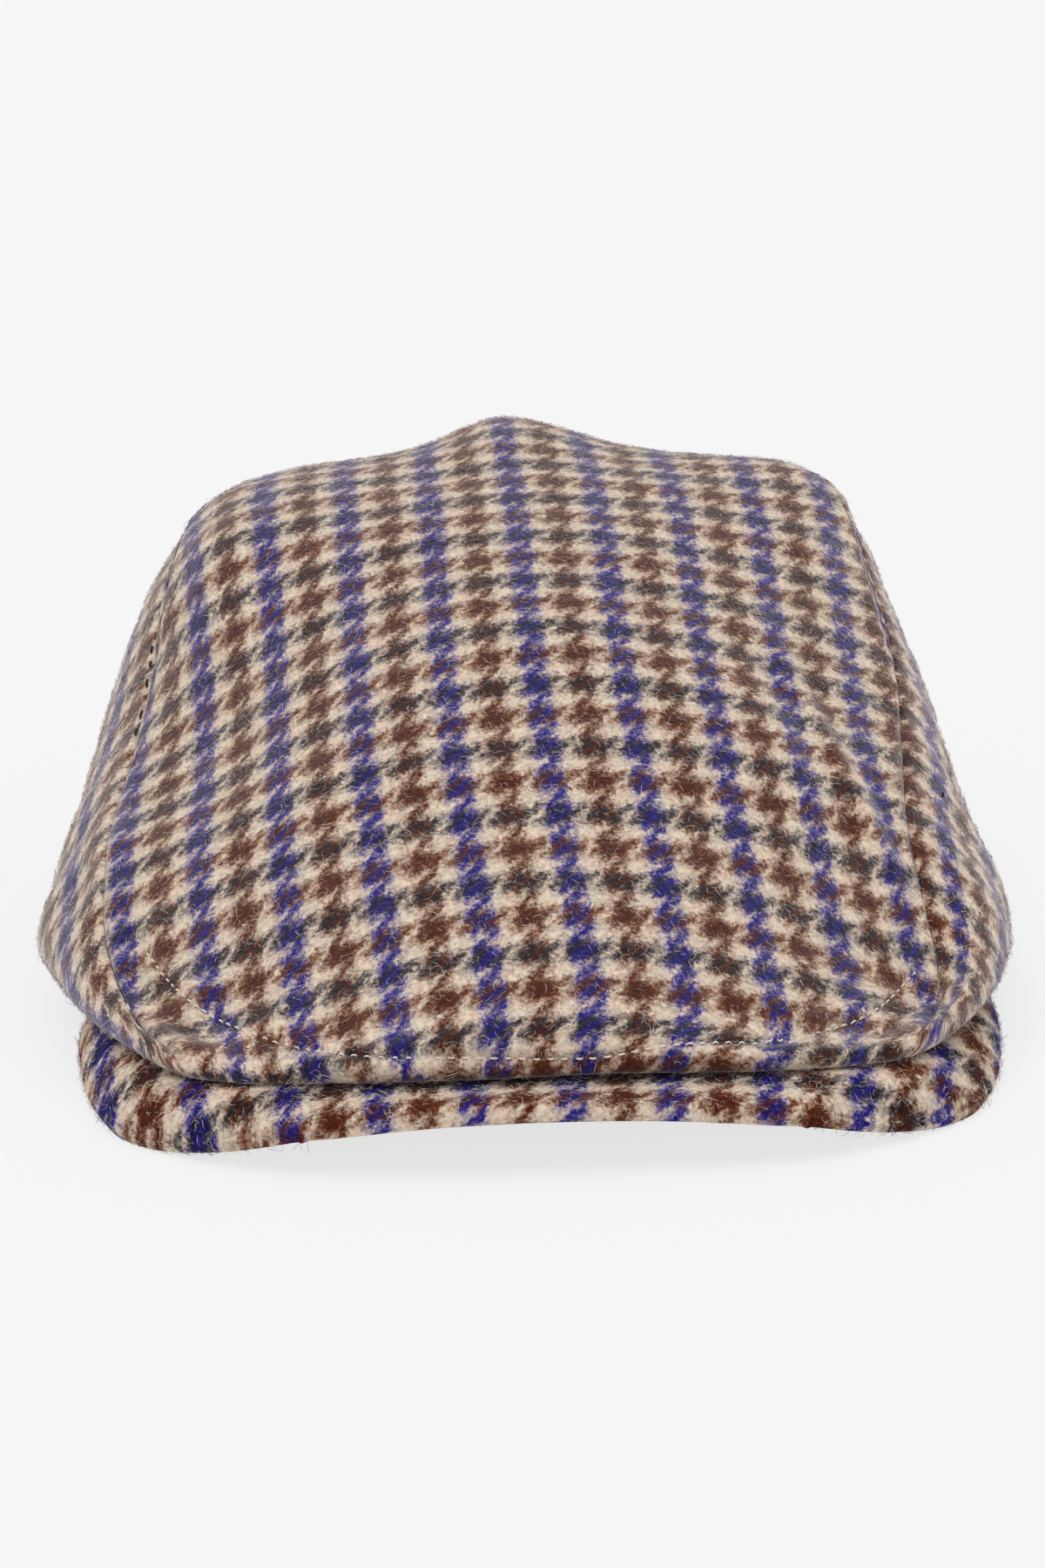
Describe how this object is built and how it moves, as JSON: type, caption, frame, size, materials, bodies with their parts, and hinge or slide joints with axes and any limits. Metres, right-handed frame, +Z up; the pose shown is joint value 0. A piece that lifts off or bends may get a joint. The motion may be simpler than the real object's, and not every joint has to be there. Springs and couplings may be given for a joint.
{
  "type": "flat cap",
  "caption": "Wool flat cap in a brown, cream and blue gun-club check, with a one-piece top, side panels and a low curved peak.",
  "frame": {"origin": "bottom centre of the cap's box, on the surface that the cap rests on", "axes": "+Y towards the back of the cap, +X towards the wearer's left, +Z up"},
  "size_m": [0.2022, 0.263, 0.1056],
  "materials": {
    "wool_top": "brushed wool twill, cream, brown and blue gun-club check",
    "wool_left": "brushed wool twill, cream, brown and blue gun-club check",
    "wool_right": "brushed wool twill, cream, brown and blue gun-club check",
    "wool_peak": "brushed wool twill over a stiffened peak, same check"
  },
  "bodies": {
    "root": {"top_panel": "wool_top", "side_panel_left": "wool_left", "side_panel_right": "wool_right", "peak": "wool_peak"}
  },
  "joints": []
}
